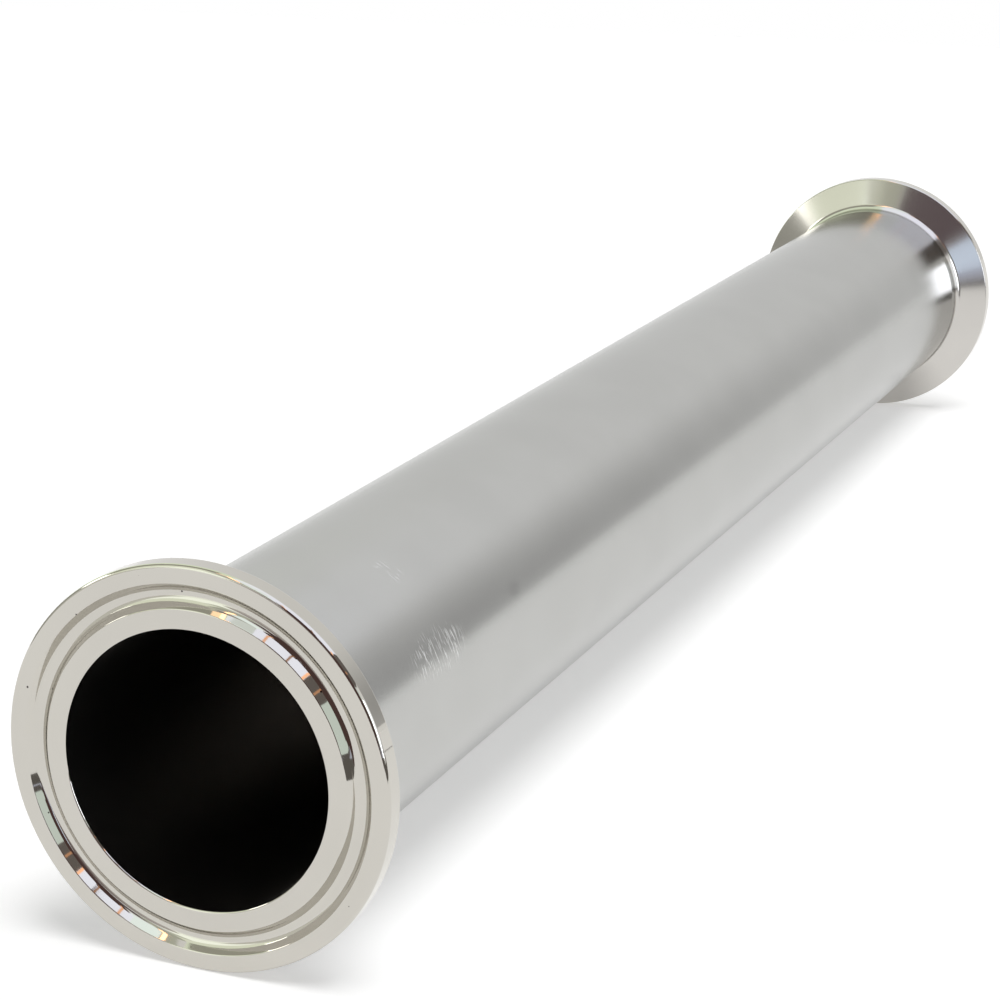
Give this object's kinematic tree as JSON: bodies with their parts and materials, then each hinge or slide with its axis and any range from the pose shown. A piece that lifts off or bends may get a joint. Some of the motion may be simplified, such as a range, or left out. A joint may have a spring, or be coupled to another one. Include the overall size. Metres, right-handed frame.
{
  "type": "sanitary spool pipe",
  "caption": "Straight stainless spool pipe: a satin tube with a polished, gasket-grooved clamp ferrule welded to each end, to join hygienic process lines.",
  "frame": {"origin": "centre of the lower sealing face", "axes": "+Z along the bore, from the lower end to the upper end; the part is round, so X and Y may point any way"},
  "size_m": [0.0506, 0.0506, 0.3048],
  "materials": {
    "satin_steel": "fine satin, ground around the tube",
    "polished_steel": "mirror polish over fine turning lines",
    "weld_steel": "weld ground flush and blended by hand, with fine scratches around the tube"
  },
  "bodies": {
    "root": {"tube": "satin_steel", "upper_ferrule": "polished_steel", "lower_ferrule": "polished_steel", "upper_weld": "weld_steel", "lower_weld": "weld_steel"}
  },
  "joints": []
}
